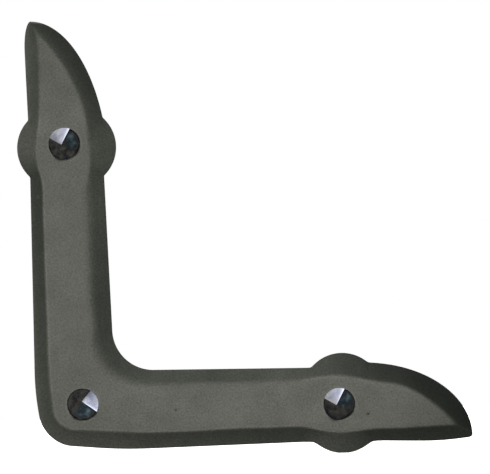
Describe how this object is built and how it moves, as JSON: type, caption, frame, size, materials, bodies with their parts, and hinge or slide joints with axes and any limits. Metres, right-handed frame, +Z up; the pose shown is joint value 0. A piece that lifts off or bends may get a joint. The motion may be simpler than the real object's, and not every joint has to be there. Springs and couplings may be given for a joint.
{
  "type": "l strap",
  "caption": "L-shaped decorative strap of cast iron with bevelled edges, round bosses and curved pointed tips, fixed flat to wood by pyramid-head nails.",
  "frame": {"origin": "corner nail's axis at the strap's back face", "axes": "+X along the foot to its tip, +Z up the upright to its tip, +Y out of the back face along the nails, so the front faces -Y"},
  "size_m": [0.1561, 0.0354, 0.1547],
  "materials": {
    "cast_iron": "matte grey, fine cast grain",
    "blued_steel": "polished blue-black"
  },
  "bodies": {
    "root": {"strap": "cast_iron", "pyramid_nails": "blued_steel"}
  },
  "joints": []
}
